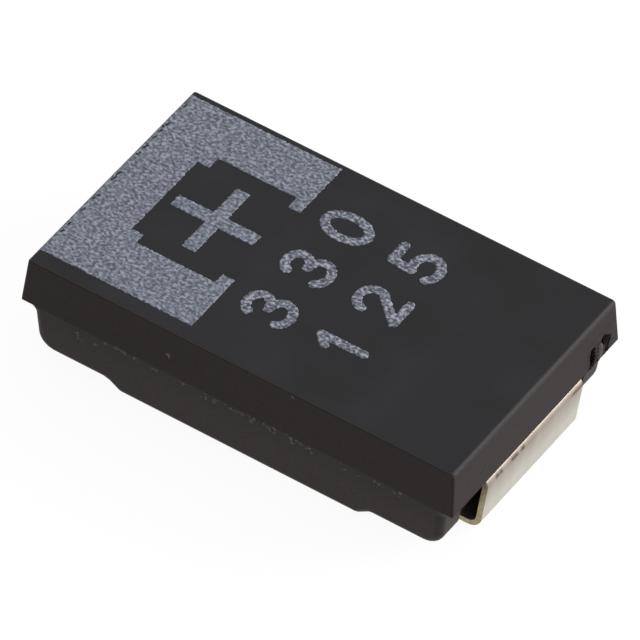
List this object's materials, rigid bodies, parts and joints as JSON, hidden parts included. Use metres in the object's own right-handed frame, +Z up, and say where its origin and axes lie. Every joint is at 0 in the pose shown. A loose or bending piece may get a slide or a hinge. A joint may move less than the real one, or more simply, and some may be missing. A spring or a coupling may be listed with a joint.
{
  "type": "tantalum capacitor",
  "caption": "Moulded-chip polymer tantalum capacitor for surface mounting, with folded flat terminals and a polarity band at its anode end.",
  "frame": {"origin": "on the board, under the middle of the part", "axes": "+X along the length from the anode end, which has the polarity band, to the cathode end; +Y across; +Z up, away from the board"},
  "size_m": [0.0072, 0.0044, 0.0019],
  "materials": {
    "case_compound": "moulded epoxy, fine matt",
    "tinned_strip": "matt tin plate",
    "tantalum_wire": "drawn wire",
    "sintered_tantalum": "porous sintered powder",
    "conductive_polymer": "thin film",
    "graphite": "thin paint",
    "silver_paint": "dried silver paint",
    "silver_epoxy": "cured silver-filled adhesive",
    "fluoropolymer": "plain"
  },
  "bodies": {
    "root": {"moulded_case": "case_compound", "anode_terminal": "tinned_strip", "cathode_terminal": "tinned_strip", "anode_wire": "tantalum_wire", "tantalum_pellet": "sintered_tantalum", "polymer_coat": "conductive_polymer", "graphite_coat": "graphite", "silver_coat": "silver_paint", "silver_adhesive": "silver_epoxy", "wire_washer": "fluoropolymer"}
  },
  "joints": []
}
